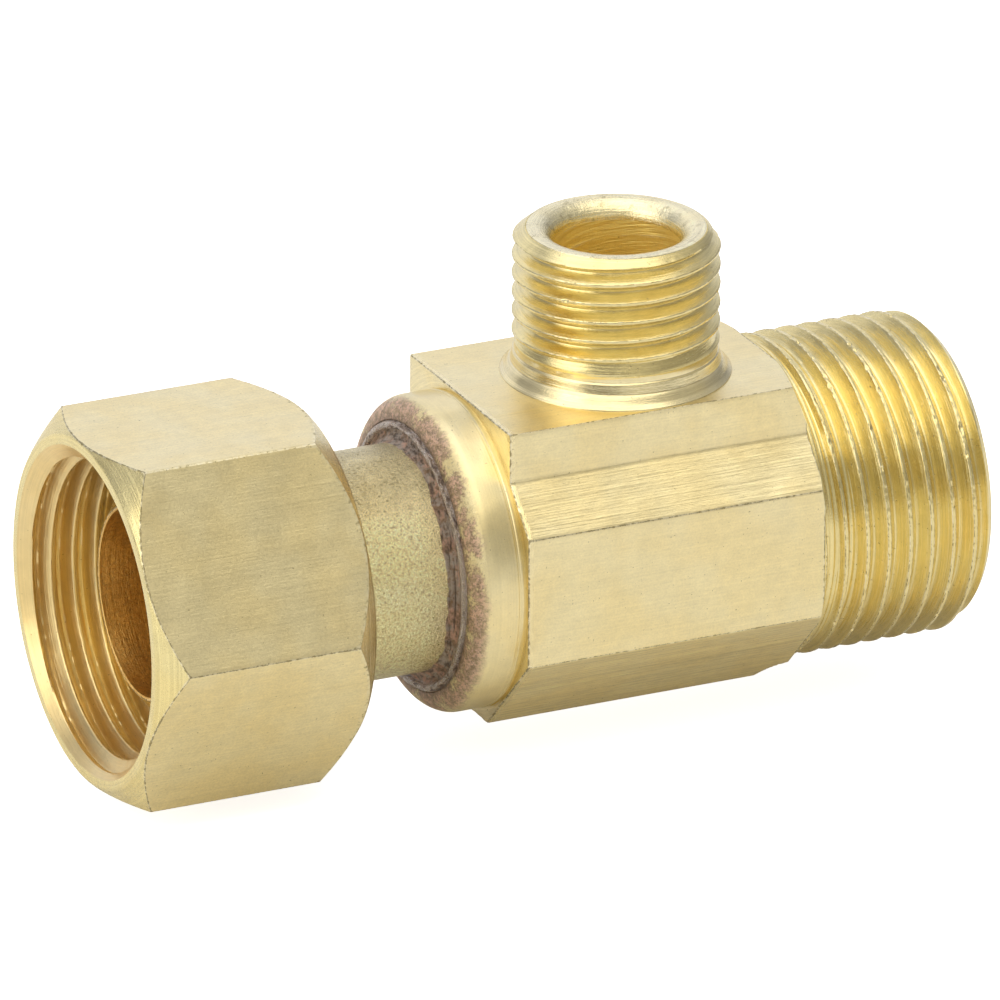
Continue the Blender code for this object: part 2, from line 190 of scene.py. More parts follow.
class Paint:
    """A material's nodes, with short calls that each return a socket."""

    def __init__(self, name):
        self.material = bpy.data.materials.new(name)
        self.material.use_nodes = True
        self.nodes = self.material.node_tree.nodes
        self.links = self.material.node_tree.links
        self.shader = self.nodes["Principled BSDF"]
        self.shader.inputs["Metallic"].default_value = 1.0
        where = self.nodes.new("ShaderNodeTexCoord").outputs["Object"]
        self.spot = self.vector_math("MULTIPLY_ADD", where, (1 / MM,) * 3, (0, 0, -AXIS_HEIGHT))
        split = self.nodes.new("ShaderNodeSeparateXYZ")
        self.put(split.inputs[0], self.spot)
        self.x, self.y, self.z = split.outputs

    def put(self, socket, value):
        if isinstance(value, bpy.types.NodeSocket):
            self.links.new(value, socket)
        elif isinstance(value, tuple) and socket.type == "RGBA":
            socket.default_value = (*value, 1)
        else:
            socket.default_value = value

    def vector_math(self, operation, *values):
        node = self.nodes.new("ShaderNodeVectorMath")
        node.operation = operation
        for socket, value in zip(node.inputs, values):
            self.put(socket, value)
        return node.outputs[0]

    def math(self, operation, *values):
        node = self.nodes.new("ShaderNodeMath")
        node.operation = operation
        for socket, value in zip(node.inputs, values):
            self.put(socket, value)
        return node.outputs[0]

    def vector(self, x, y, z):
        node = self.nodes.new("ShaderNodeCombineXYZ")
        for socket, value in zip(node.inputs, (x, y, z)):
            self.put(socket, value)
        return node.outputs[0]

    def noise(self, vector, scale, detail=2.0, roughness=0.5):
        """scale is in features per millimetre."""
        node = self.nodes.new("ShaderNodeTexNoise")
        self.put(node.inputs["Vector"], vector)
        node.inputs["Scale"].default_value = scale
        node.inputs["Detail"].default_value = detail
        node.inputs["Roughness"].default_value = roughness
        return node.outputs[0]

    def step(self, value, bottom_shade, high):
        """0 below low, 1 above high and smooth between them."""
        node = self.nodes.new("ShaderNodeMapRange")
        node.interpolation_type = "SMOOTHSTEP"
        self.put(node.inputs["Value"], value)
        self.put(node.inputs["From Min"], bottom_shade)
        self.put(node.inputs["From Max"], high)
        return node.outputs[0]

    def mix(self, factor, a, b):
        node = self.nodes.new("ShaderNodeMix")
        node.data_type = "RGBA"
        self.put(node.inputs[0], factor)
        self.put(node.inputs[6], a)
        self.put(node.inputs[7], b)
        return node.outputs[2]

    def attribute(self, name):
        node = self.nodes.new("ShaderNodeAttribute")
        node.attribute_name = name
        return node.outputs["Fac"]

    def scale(self, color, factor):
        node = self.nodes.new("ShaderNodeVectorMath")
        node.operation = "SCALE"
        self.put(node.inputs[0], color)
        self.put(node.inputs["Scale"], factor)
        return node.outputs[0]

    def slant(self):
        """1 on faces at 45 degrees about the run, 0 on level and upright ones."""
        normal = self.nodes.new("ShaderNodeNewGeometry").outputs["True Normal"]
        split = self.nodes.new("ShaderNodeSeparateXYZ")
        self.put(split.inputs[0], normal)
        product = self.math("MULTIPLY", split.outputs[1], split.outputs[2])
        return self.math("ABSOLUTE", self.math("MULTIPLY", product, 2.0))

    def bump(self, height, depth, normal=None):
        """depth is in millimetres for a height of 1."""
        node = self.nodes.new("ShaderNodeBump")
        node.inputs["Distance"].default_value = depth * MM
        self.put(node.inputs["Height"], height)
        if normal is not None:
            self.put(node.inputs["Normal"], normal)
        return node.outputs[0]

    def finish(self, color, roughness, normal):
        self.put(self.shader.inputs["Base Color"], color)
        self.put(self.shader.inputs["Roughness"], roughness)
        self.put(self.shader.inputs["Normal"], normal)
        return self.material


def distance_from(paint, a, b):
    """Distance from an axis, from the two coordinates across it."""
    squares = paint.math("ADD", paint.math("POWER", a, 2.0), paint.math("POWER", b, 2.0))
    return paint.math("SQRT", squares)


def grain_place(paint, grain, drift):
    """Coordinates that change fast across a tool's marks and only by drift along them."""
    if grain == "along":
        return paint.vector(paint.math("MULTIPLY", paint.x, drift), paint.y, paint.z)
    if grain == "branch":
        out = distance_from(paint, paint.x, paint.y)
        return paint.vector(out, paint.z, paint.math("MULTIPLY", paint.x, drift))
    out = distance_from(paint, paint.y, paint.z)
    return paint.vector(paint.x, out, paint.math("MULTIPLY", paint.y, drift))


def tool_marks(paint, grain):
    """Height of the tool's marks, long ones and short ones together."""
    long_marks = paint.noise(grain_place(paint, grain, LONG_DRIFT), 8.0, 3.0, 0.6)
    short_marks = paint.noise(grain_place(paint, grain, SHORT_DRIFT), 11.0, 3.0, 0.65)
    return paint.math("MULTIPLY_ADD", long_marks, 0.6, paint.math("MULTIPLY", short_marks, 0.4))


def brass_color(paint, tint, marks, fine, lines, grit):
    """Tint that turns warmer in broad blotches, shaded by the tool marks, soft clouds and grit."""
    blotch = paint.noise(paint.spot, 0.3, 2.0)
    cloud = paint.noise(paint.spot, 1.3, 4.0, 0.6)
    swing = paint.math("MULTIPLY", paint.math("SUBTRACT", marks, 0.5), lines)
    shade = paint.math("MULTIPLY_ADD", swing, 1.1, 1.0)
    shade = paint.math("MULTIPLY", shade, paint.math("MULTIPLY_ADD", cloud, 0.2, 0.9))
    shade = paint.math("MULTIPLY", shade, paint.math("MULTIPLY_ADD", fine, 0.7 * grit, 1 - 0.35 * grit))
    warmer = tuple(c * f for c, f in zip(tint, WARMER))
    return paint.scale(paint.mix(paint.step(blotch, 0.35, 0.65), tint, warmer), shade)


def edge_light_wear_and_stain(paint, color, specks):
    """Painted highlight in bright dashes along the edges, dark dashes there that are dirt with painted
    shadow, and dark specks. Returns the colour and how stained it is.
    """
    spots = paint.noise(paint.spot, 6.5, 2.0, 0.5)
    spots = paint.step(spots, 0.75 - 0.03 * specks, 0.78 - 0.03 * specks)
    edge_wear_and_painted_light = paint.attribute("edge_wear_and_painted_light")
    ragged = paint.noise(paint.spot, 3.2, 5.0, 0.8)
    # Painted highlight: bright dashes along the edges and the thread crests, mixed toward PALE.
    edge_highlight = paint.step(paint.math("MULTIPLY", edge_wear_and_painted_light, paint.math("SUBTRACT", 1.0, ragged)), 0.33, 0.46)
    # Dark dashes along the edges: dirt, with painted shadow beside the edges.
    dark_edge_dashes = paint.step(paint.math("MULTIPLY", edge_wear_and_painted_light, ragged), 0.37, 0.5)
    stain = paint.math("MAXIMUM", paint.math("MULTIPLY", spots, 0.5), paint.math("MULTIPLY", dark_edge_dashes, 0.7))
    color = paint.mix(paint.math("MULTIPLY", edge_highlight, 0.6), color, PALE)
    return paint.mix(stain, color, STAIN), stain


def brass_parts(paint, tint, roughness, grain, lines, grit, specks):
    """Colour, roughness and normal of brass.

    lines, grit and specks say how strong the tool marks, the fine grit and the dark specks are.
    """
    marks = tool_marks(paint, grain)
    fine = paint.noise(paint.spot, 12 / (1 + 0.8 * grit), 4.0, 0.7)
    color = brass_color(paint, tint, marks, fine, lines, grit)
    color, stain = edge_light_wear_and_stain(paint, color, specks)
    rough = paint.math("MULTIPLY_ADD", fine, ROUGHNESS_SWING, roughness - ROUGHNESS_SWING / 2)
    rough = paint.math("ADD", rough, paint.math("MULTIPLY", stain, STAIN_ROUGHNESS))
    normal = paint.bump(paint.noise(paint.spot, 0.32, 1.0), WAVE_DEPTH)
    normal = paint.bump(paint.math("MULTIPLY", marks, lines), MARK_DEPTH, normal)
    normal = paint.bump(fine, GRIT_DEPTH * (0.3 + grit), normal)
    return color, rough, normal


def brass(name, tint, roughness, grain, lines, grit, specks=1.0):
    """Brass with the same finish all over."""
    paint = Paint(name)
    return paint.finish(*brass_parts(paint, tint, roughness, grain, lines, grit, specks))


def bar_brass():
    """Drawn bar: die lines along it, strongest on the slanted faces."""
    paint = Paint("brass_bar")
    lines = paint.math("MULTIPLY_ADD", paint.slant(), 0.8, 0.3)
    return paint.finish(*brass_parts(paint, BRASS, 0.36, "along", lines, 0.5, 1.0))


def lip_brass():
    """The branch's chamfer and lip: silvery, scraped and smudged."""
    paint = Paint("brass_lip")
    color, rough, normal = brass_parts(paint, (0.93, 0.84, 0.55), 0.24, "branch", 0.8, 0.6, 2.0)
    smudges = paint.noise(paint.spot, 1.5, 5.0, 0.7)
    dark = paint.step(smudges, 0.55, 0.68)
    color = paint.mix(paint.math("MULTIPLY", dark, 0.5), color, SMUDGE_AND_SHADE)
    normal = paint.bump(smudges, 0.06, normal)
    return paint.finish(color, rough, normal)


def branch_bore_brass():
    """The branch's bore, with the drill's marks winding down it."""
    paint = Paint("brass_branch_bore")
    color, rough, normal = brass_parts(paint, (1.0, 0.82, 0.31), 0.4, "branch", 0.2, 0.3, 1.0)
    paint.shader.inputs["Metallic"].default_value = 0.75
    turn = paint.math("ARCTAN2", paint.y, paint.x)
    climb = paint.math("MULTIPLY_ADD", turn, 0.55, paint.z)
    spirals = paint.noise(paint.vector(climb, paint.math("MULTIPLY", turn, 0.25), 0.0), 2.6, 4.0, 0.6)
    lines = paint.step(spirals, 0.6, 0.65)
    color = paint.mix(paint.math("MULTIPLY", lines, 0.5), color, PALE)
    normal = paint.bump(spirals, 0.1, normal)
    return paint.finish(color, rough, normal)


def collar_brass():
    """Turned brass with copper patches, brown film and soot where the braze heated the rounded edge, and
    painted shade along the crevice by the recess wall.
    """
    paint = Paint("brass_collar")
    color, rough, normal = brass_parts(paint, BRASS, 0.32, "around", 0.25, 0.3, 1.0)
    heat = paint.step(paint.x, COLLAR_FACE + 1.05, COLLAR_FACE + 0.3)
    off_axis = distance_from(paint, paint.y, paint.z)
    # Painted shade: darker along the crevice by the recess wall, added to the soot below.
    crevice_painted_shade = paint.step(off_axis, RECESS_RADIUS + 0.55, RECESS_RADIUS + 0.05)
    patches = paint.noise(paint.spot, 0.5, 3.0, 0.6)
    veins = paint.noise(paint.spot, 2.4, 6.0, 0.78)
    crackle = paint.noise(paint.spot, 7.5, 5.0, 0.8)
    reach = paint.math("MULTIPLY_ADD", heat, 0.16, paint.math("MULTIPLY_ADD", veins, 0.55, patches))
    back = paint.math("MULTIPLY", paint.step(paint.y, -5.0, 3.0), 0.06)
    reach = paint.math("ADD", reach, back)
    film = paint.math("MULTIPLY", paint.step(reach, 0.83, 0.93), heat)
    burnt = paint.mix(paint.step(veins, 0.42, 0.58), FILM, COPPER)
    color = paint.mix(paint.math("MULTIPLY", film, 0.85), color, burnt)
    brink = paint.math("MULTIPLY", paint.step(reach, 0.8, 0.86), paint.step(reach, 0.96, 0.89))
    brink = paint.math("MULTIPLY", brink, paint.math("MULTIPLY", heat, paint.step(crackle, 0.4, 0.55)))
    color = paint.mix(paint.math("MULTIPLY", brink, 0.7), color, FILM)
    # Soot from the heat, with painted shade added along the crevice at the recess wall.
    soot_and_crevice_shade = paint.math("MULTIPLY_ADD", crevice_painted_shade, 0.11, paint.math("MULTIPLY_ADD", film, 0.04, crackle))
    soot_and_crevice_shade = paint.math("MULTIPLY", paint.step(soot_and_crevice_shade, 0.54, 0.64), heat)
    color = paint.mix(paint.math("MULTIPLY", soot_and_crevice_shade, 0.6), color, SOOT)
    rough = paint.math("MULTIPLY_ADD", film, 0.14, rough)
    normal = paint.bump(paint.math("MULTIPLY", veins, heat), 0.2, normal)
    return paint.finish(color, rough, normal)


def neck_brass():
    """Blasted brass, grainy all over, with tarnish towards the braze, a painted dark reflection on top and
    painted shade towards the bottom.
    """
    paint = Paint("brass_neck")
    color, rough, normal = brass_parts(paint, BRASS, 0.22, "around", 0.2, 0.4, 3.0)
    grains = paint.noise(paint.spot, 6.5, 5.0, 0.8)
    stained = paint.noise(paint.spot, 0.9, 3.0, 0.6)
    near = paint.step(paint.x, COLLAR_FACE - 2.3, COLLAR_FACE - 0.3)
    top_shade = paint.step(paint.z, NECK - 2.55, NECK - 0.55)
    tarnish_and_top_shade = paint.math("MAXIMUM", near, top_shade)
    dark = paint.step(paint.math("MULTIPLY_ADD", tarnish_and_top_shade, 0.1, grains), 0.56, 0.68)
    dark = paint.math("MULTIPLY", dark, paint.step(stained, 0.25, 0.55))
    color = paint.scale(color, paint.math("MULTIPLY_ADD", grains, 4.2, -0.92))
    # Painted reflection: the top is darkened as if it mirrored the dark nut.
    color = paint.mix(paint.math("MULTIPLY", top_shade, 0.36), color, SMUDGE_AND_SHADE)
    # Painted shade: the bottom is darkened.
    bottom_shade = paint.step(paint.z, 1.45 - NECK, 0.05 - NECK)
    color = paint.mix(paint.math("MULTIPLY", bottom_shade, 0.6), color, SMUDGE_AND_SHADE)
    color = paint.mix(paint.math("MULTIPLY", dark, 0.7), color, STAIN)
    normal = paint.bump(grains, 0.08, normal)
    return paint.finish(color, paint.math("MULTIPLY_ADD", dark, 0.15, rough), normal)


def braze_filler():
    """Oxidised filler: dark grey-brown, streaked round the neck, with a glossy bead that has painted
    glints.
    """
    paint = Paint("braze_filler")
    streaks = paint.noise(grain_place(paint, "around", 0.5), 4.5, 5.0, 0.75)
    mottle = paint.noise(paint.spot, 2.6, 6.0, 0.8)
    lumps = paint.noise(paint.spot, 0.9, 3.0, 0.6)
    color = paint.mix(paint.step(lumps, 0.42, 0.58), SOLDER, COPPER)
    color = paint.mix(paint.step(mottle, 0.4, 0.54), FILM, color)
    color = paint.mix(paint.step(streaks, 0.38, 0.53), SOOT, color)
    off_axis = distance_from(paint, paint.y, paint.z)
    bead = paint.step(off_axis, RECESS_RADIUS - 0.6, RECESS_RADIUS - 0.4)
    # Painted highlight: glints on the bead, lightened toward SOLDER; the bead is also made less rough
    # there.
    painted_glint_and_gloss = paint.math("MULTIPLY", bead, paint.step(streaks, 0.43, 0.53))
    color = paint.mix(painted_glint_and_gloss, color, SOLDER)
    rough = paint.math("MULTIPLY_ADD", painted_glint_and_gloss, -0.22, 0.42)
    normal = paint.bump(paint.math("MULTIPLY_ADD", mottle, 1.2, streaks), 0.2)
    normal = paint.bump(lumps, 0.35, normal)
    return paint.finish(color, rough, normal)


materials = {
    "bar_flat": bar_brass(),
    "nut_flat": brass("brass_nut_flat", BRASS, 0.36, "along", 0.3, 0.65),
    "turned": brass("brass_turned", BRASS, 0.24, "around", 0.7, 0.2),
    "thread": brass("brass_thread", GOLDEN, 0.22, "around", 0.7, 0.35, 2.0),
    "nut_cut": brass("brass_nut_cut", CUT, 0.28, "around", 0.8, 0.4),
    "nut_thread": brass("brass_nut_thread", PEACH, 0.33, "around", 0.5, 0.1),
    "bore": brass("brass_bore", DEEP, 0.33, "around", 0.5, 1.6, 2.0),
    "collar": collar_brass(),
    "neck": neck_brass(),
    "branch_turned": brass("brass_branch_turned", BRASS, 0.16, "branch", 0.5, 0.2),
    "branch_thread": brass("brass_branch_thread", GOLDEN, 0.2, "branch", 0.6, 0.3, 2.0),
    "branch_lip": lip_brass(),
    "branch_bore": branch_bore_brass(),
    "braze": braze_filler(),
}


# ---------------------------------------------------------------- numbers around a circle


def around(columns):
    """Angles of the columns. The last column lies on the first."""
    return np.arange(columns + 1) / columns * TURN


def noise(seed, angle, along, cells, cell_length):
    """Smooth noise from -1 to 1 on a surface around an axis, without a seam."""
    lattice = np.random.default_rng(seed).uniform(-1, 1, (cells, 97))
    a = np.asarray(angle) / TURN * cells
    b = np.asarray(along) / cell_length
    a, b = np.broadcast_arrays(a, b)
    a0 = np.floor(a).astype(int)
    b0 = np.floor(b).astype(int)
    fa = a - a0
    fb = b - b0
    fa = fa * fa * (3 - 2 * fa)
    fb = fb * fb * (3 - 2 * fb)
    near = lattice[a0 % cells, b0 % 97] * (1 - fa) + lattice[(a0 + 1) % cells, b0 % 97] * fa
    far = lattice[a0 % cells, (b0 + 1) % 97] * (1 - fa) + lattice[(a0 + 1) % cells, (b0 + 1) % 97] * fa
    return near * (1 - fb) + far * fb


def smooth_min(a, b, width):
    """The smaller of a and b, rounded over width where they meet."""
    h = np.maximum(width - np.abs(a - b), 0) / width
    return np.minimum(a, b) - h * h * width / 4


def smooth_max(a, b, width):
    return -smooth_min(-a, -b, width)


def polygon(angle, distances, rounding):
    """Radius of a polygon with rounded corners. distances gives each flat's direction and distance."""
    radius = None
    for direction, distance in distances:
        facing = np.cos(angle - math.radians(direction))
        flat = np.where(facing > 0.2, distance / np.maximum(facing, 0.2), 40.0)
        radius = flat if radius is None else smooth_min(radius, flat, rounding)
    return radius


# ---------------------------------------------------------------- sheets


def ring(angle, station, radius):
    """One row: a station and a radius for every angle."""
    return np.stack(np.broadcast_arrays(station, radius, angle)[:2])


def bend(before, corner, after, size, steps=3):
    """Rows that round a corner of an outline. A row is (station, radius)."""
    corner = np.stack(np.broadcast_arrays(*corner))
    ends = []
    for other in (before, after):
        way = np.stack(np.broadcast_arrays(*other, corner[0])[:2]) - corner
        length = np.maximum(np.hypot(*way), 1e-9)
        ends.append(corner + way / length * np.minimum(size, 0.45 * length))
    rows = []
    for step in range(steps + 1):
        t = step / steps
        rows.append((1 - t) ** 2 * ends[0] + 2 * t * (1 - t) * corner + t * t * ends[1])
    return rows


def outline(angle, corners, closed=False):
    """Rows through corners (station, radius, edge rounding, rows on the way to the next corner)."""
    points = [ring(angle, corner[0], corner[1]) for corner in corners]
    rows = []
    last = len(points) - 1
    pieces = []
    for i, point in enumerate(points):
        size = corners[i][2]
        if (not closed and i in (0, last)) or np.max(size) <= 0:
            pieces.append([point])
        else:
            pieces.append(bend(points[i - 1], point, points[(i + 1) % len(points)], size))
    for i, piece in enumerate(pieces):
        rows.extend(piece)
        if i == last and not closed:
            break
        following = pieces[(i + 1) % len(pieces)][0]
        between = corners[i][3]
        for step in range(1, between + 1):
            t = step / (between + 1)
            rows.append(piece[-1] * (1 - t) + following * t)
    if closed:
        rows.append(rows[0])
    return np.array(rows)


def thread_shape(u, crest_radius, pitch, crest_round, root_round):
    """Radius of an outside thread at a share u of the pitch from a crest."""
    u = np.abs((u + 0.5) % 1 - 0.5)
    depth = THREAD_DEPTH * pitch
    slope = 1 / math.tan(math.radians(30)) * pitch
    flank = crest_radius - slope * (u - CREST_FLAT / 2)
    radius = smooth_min(flank, np.full_like(flank, crest_radius), crest_round)
    return smooth_max(radius, np.full_like(flank, crest_radius - depth), root_round)


# Where rows lie across a pitch, closest together about the crest
THREAD_ROWS = [-0.46, -0.42, -0.38, -0.33, -0.27, -0.21, -0.16, -0.12, -0.095, -0.075, -0.055, -0.035, 0.0]
THREAD_ROWS = THREAD_ROWS + [-u for u in reversed(THREAD_ROWS[:-1])] + [0.5]


def helix_rows(angle, start, end, crest_at, pitch):
    """Stations of rows that follow the thread, kept within start and end.

    A crest passes crest_at at angle 0.
    """
    first = math.floor((start - crest_at) / pitch) - 2
    last = math.ceil((end - crest_at) / pitch) + 2
    stations = []
    for crest in range(first, last):
        for u in THREAD_ROWS:
            stations.append(np.clip(crest_at + (crest + u + angle / TURN) * pitch, start, end))
    return np.array(stations)


def thread_turn(station, angle, crest_at, pitch):
    """How many pitches a point lies past the first crest, along the helix."""
    return (station - crest_at) / pitch - angle / TURN


# ---------------------------------------------------------------- meshes


def to_frame(points):
    """From millimetres about the run axis to the frame's metres."""
    return (points + np.array([0, 0, AXIS_HEIGHT])) * MM


def solid(name, angle, sheets, place, slots):
    """A closed mesh in millimetres from sheets (rows, slot).

    place turns an angle, a station and a radius into a point.
    """
    points = []
    faces = []
    indices = []
    base = 0
    columns = len(angle)
    for rows, slot in sheets:
        count = len(rows)
        spots = place(angle[None, :], rows[:, 0, :], rows[:, 1, :])
        points.append(spots.reshape(-1, 3))
        grid = base + np.arange(count * columns).reshape(count, columns)
        quads = np.stack([grid[:-1, :-1], grid[:-1, 1:], grid[1:, 1:], grid[1:, :-1]], -1).reshape(-1, 4)
        faces.append(quads)
        indices.append(np.full(len(quads), slots.index(slot)))
        base += count * columns
    mesh = bpy.data.meshes.new(name)
    mesh.from_pydata(np.concatenate(points).tolist(), [], np.concatenate(faces).tolist())
    mesh.polygons.foreach_set("material_index", np.concatenate(indices).astype(np.int32))
    bm = bmesh.new()
    bm.from_mesh(mesh)
    bmesh.ops.remove_doubles(bm, verts=bm.verts, dist=MERGE_DISTANCE)
    bmesh.ops.recalc_face_normals(bm, faces=bm.faces)
    open_edges = sum(1 for edge in bm.edges if len(edge.link_faces) != 2)
    bm.to_mesh(mesh)
    bm.free()
    print("solid", name, len(mesh.polygons), "faces", open_edges, "open edges")
    for slot in slots:
        mesh.materials.append(materials[slot])
    obj = bpy.data.objects.new(name, mesh)
    bpy.context.scene.collection.objects.link(obj)
    return obj


def about_run(angle, station, radius):
    """Points around the run's axis, which lies along X."""
    return np.stack(np.broadcast_arrays(station, radius * np.cos(angle), radius * np.sin(angle)), -1)


def about_branch(angle, station, radius):
    """Points around the branch's axis, which stands along Z."""
    return np.stack(np.broadcast_arrays(radius * np.cos(angle), radius * np.sin(angle), station), -1)


def boolean(obj, other, operation):
    modifier = obj.modifiers.new(operation.lower(), "BOOLEAN")
    modifier.operation = operation
    modifier.solver = "EXACT"
    modifier.object = other


def settle(obj, cutters=()):
    """Applies the modifiers, removes the cutters, goes to the frame's metres and shades smooth."""
    evaluated = obj.evaluated_get(bpy.context.evaluated_depsgraph_get())
    mesh = bpy.data.meshes.new_from_object(evaluated)
    obj.modifiers.clear()
    obj.data = mesh
    for cutter in cutters:
        bpy.data.objects.remove(cutter)
    points = np.zeros(len(mesh.vertices) * 3, np.float32)
    mesh.vertices.foreach_get("co", points)
    points = to_frame(points.reshape(-1, 3).astype(float))
    mesh.vertices.foreach_set("co", points.astype(np.float32).ravel())
    mesh.shade_smooth()
    mesh.set_sharp_from_angle(angle=SHARP_EDGE)
    mesh.update()


# ---------------------------------------------------------------- body of the tee


def bar_radius(angle, rounding):
    """The bar's section: a regular octagon with the flat-topped land added."""
    octagon = polygon(angle, [(45 * i, BAR_HALF) for i in range(8)], rounding)
    land = polygon(angle, [(0, LAND_HALF), (90, BAR_HALF), (180, LAND_HALF)], rounding)
    land = np.where(np.sin(angle) > 0, land, 0)
    return smooth_max(octagon, land, 0.08)


def bar_sheets(angle):
    """The bar's face by the collar, its flats and its face by the outlet thread."""
    edge_noise = noise(3, angle, 0.0, 150, 1.0)
    rounding = 0.07
    bar = bar_radius(angle, rounding)
    rough = 0.1 + 0.05 * edge_noise
    trim = BODY_END - np.maximum(bar - END_FACE_RADIUS, 0) / END_CORNER_SLOPE
    reach = math.sqrt(NOTCH_RADIUS**2 - (NOTCH_RADIUS - NOTCH_DEPTH) ** 2)
    center = NOTCH_START + reach

    def notched(station, radius):
        drop = np.sqrt(np.maximum(NOTCH_RADIUS**2 - (station - center) ** 2, 0))
        height = BAR_HALF - NOTCH_DEPTH + NOTCH_RADIUS - drop
        below = np.maximum(-np.sin(angle), 0.05)
        limit = np.where((station > NOTCH_START) & (-np.sin(angle) > 0.3), height / below, 40.0)
        return np.minimum(radius, limit)

    face = outline(
        angle,
        [
            (BODY_START, COLLAR_RADIUS - 0.1, 0, 1),
            (BODY_START, bar, rough, 0),
            (BODY_START + 0.3, bar, 0, 0),
        ],
    )
    rows = []
    plain = np.linspace(BODY_START + 0.3, NOTCH_START - 0.1, 14)
    by_notch = np.linspace(NOTCH_START - 0.05, BODY_END, 34)
    for station in np.concatenate([plain, by_notch]):
        station = np.minimum(station, trim)
        rows.append(np.stack([station, notched(station, bar)]))
    bar_rows = np.array(rows)
    end_radius = notched(BODY_END + 0 * angle, np.minimum(bar, END_FACE_RADIUS))
    end = outline(
        angle,
        [
            (trim, bar_rows[-1][1], 0, 2),
            (BODY_END, end_radius, 0, 2),
            (BODY_END, RUN_RUNOUT_RADIUS, 0, 0),
        ],
    )
    return [(face, "turned"), (bar_rows, "bar_flat"), (end, "turned")]


def run_thread_sheets(angle):
    """The outlet thread, its seat, the tube hole and the bore back to the braze recess."""
    stations = helix_rows(angle, BODY_END, RUN_END, RUN_CREST_AT, RUN_PITCH)
    u = thread_turn(stations, angle[None, :], RUN_CREST_AT, RUN_PITCH)
    nicks = noise(7, angle[None, :], stations, 260, 0.31)
    dents = np.maximum(noise(8, angle[None, :], stations, 150, 0.5) - 0.6, 0)
    radius = thread_shape(u, RUN_CREST - 0.02, RUN_PITCH, 0.07, 0.3)
    radius = smooth_min(radius, RUN_CREST - 0.03 - 0.02 * nicks - 0.3 * dents, 0.02)
    climb = (RUN_RUNOUT_RADIUS - (RUN_CREST - THREAD_DEPTH * RUN_PITCH)) / (RUN_RUNOUT_END - BODY_END)
    rings = RUN_RING_HEIGHT * (np.cos((stations - BODY_END) / RUN_RING_PITCH * TURN) - 1)
    runout = RUN_RUNOUT_RADIUS - climb * (stations - BODY_END) + rings
    radius = smooth_max(radius, runout, 0.05)
    fade = RUN_RUNOUT_RADIUS + (stations - BODY_END) * 0.55
    radius = smooth_min(radius, fade, 0.04)
    chamfer = RUN_CREST - RUN_CHAMFER + (RUN_END - stations)
    radius = smooth_min(radius, chamfer, 0.08)
    radius = np.where(stations <= BODY_END, RUN_RUNOUT_RADIUS, radius)
    rows = np.stack([stations, radius], 1)
    end = rows[-1]
    mouth = outline(
        angle,
        [
            (RUN_END, end[1], 0, 1),
            (RUN_END, RUN_SEAT, 0.08, 2),
            (RUN_END - (RUN_SEAT - RUN_TUBE), RUN_TUBE, 0.08, 2),
            (RUN_TUBE_STOP, RUN_TUBE, 0.05, 1),
            (RUN_TUBE_STOP, BORE, 0.08, 2),
            (SOCKET_END, BORE, 0.05, 0),
            (SOCKET_END, SOCKET_RADIUS, 0.0, 1),
            (RECESS_FLOOR, SOCKET_RADIUS, 0.0, 0),
            (RECESS_FLOOR, RECESS_RADIUS, 0.0, 0),
            (COLLAR_FACE + 0.1, RECESS_RADIUS, 0, 0),
        ],
    )
    return [(rows, "thread"), (mouth[:3], "turned"), (mouth[2:], "bore")]


def collar_sheets(angle):
    """The collar from the recess over its rounded edge to the bar, with fine grooves beside the bar."""
    waves = noise(11, angle, 0.0, 24, 1.0)
    rows = [ring(angle, COLLAR_FACE + 0.1, RECESS_RADIUS)]
    rows.append(ring(angle, COLLAR_FACE + 0.02, RECESS_RADIUS + 0.02))
    inner = COLLAR_RADIUS - COLLAR_ROUND
    for step in range(15):
        tilt = math.pi / 2 * step / 14
        lumps = 0.03 * noise(12, angle, step * 0.13, 60, 0.5) * math.cos(tilt)
        radius = inner + COLLAR_ROUND * math.sin(tilt) - 0.012 * (1 + waves) * math.sin(2 * tilt)
        station = COLLAR_FACE + COLLAR_ROUND * (1 - math.cos(tilt)) + np.maximum(lumps, 0)
        rows.append(ring(angle, station, radius))
    # The side, then two fine grooves where the collar meets the bar: (distance from the bar, depth)
    for off_bar, depth in [
        (1.4, 0.0),
        (0.65, 0.0),
        (0.45, 0.0),
        (0.4, 0.05),
        (0.28, 0.05),
        (0.24, 0.01),
        (0.16, 0.01),
        (0.12, 0.09),
        (0.0, 0.1),
    ]:
        station, radius = BODY_START - off_bar, COLLAR_RADIUS - depth
        rows.append(ring(angle, station, radius))
    return [(np.array(rows), "collar")]


def run_solid():
    """Everything of the tee body that lies around the run."""
    angle = around(RUN_COLUMNS)
    sheets = collar_sheets(angle) + bar_sheets(angle) + run_thread_sheets(angle)
    return solid("tee_body_visual", angle, sheets, about_run, TEE_SLOTS)




